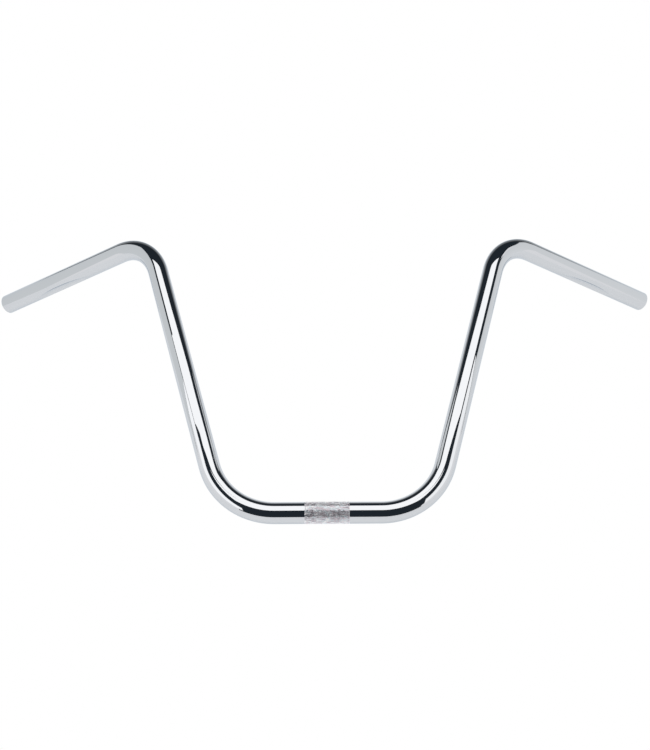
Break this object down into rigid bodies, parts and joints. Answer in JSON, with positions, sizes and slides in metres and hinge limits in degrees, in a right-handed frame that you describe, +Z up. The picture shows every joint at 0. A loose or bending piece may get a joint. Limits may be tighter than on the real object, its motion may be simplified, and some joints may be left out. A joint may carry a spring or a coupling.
{
  "type": "motorcycle handlebar",
  "caption": "Tall-rise motorcycle handlebar: a bent, chromed steel tube with a knurled clamp section, flared uprights and swept-back, dimpled grip straights.",
  "frame": {"origin": "on the tube's axis, at the middle of the knurled section that the riser clamps hold", "axes": "+X along the middle of the tube, towards one grip; +Z up from the surface the bar lies on, with its middle and the rims of both tube ends on that surface; +Y from the middle towards the grips. Turning the bar +68 degrees about +X stands its uprights vertical, which is how it is ridden, with the grips pulled back towards +Y and the rider"},
  "size_m": [0.895, 0.4157, 0.1527],
  "materials": {
    "chrome": "polished chrome plate, with a fine diamond knurl round the middle"
  },
  "bodies": {
    "root": {"handlebar_tube": "chrome"}
  },
  "joints": []
}
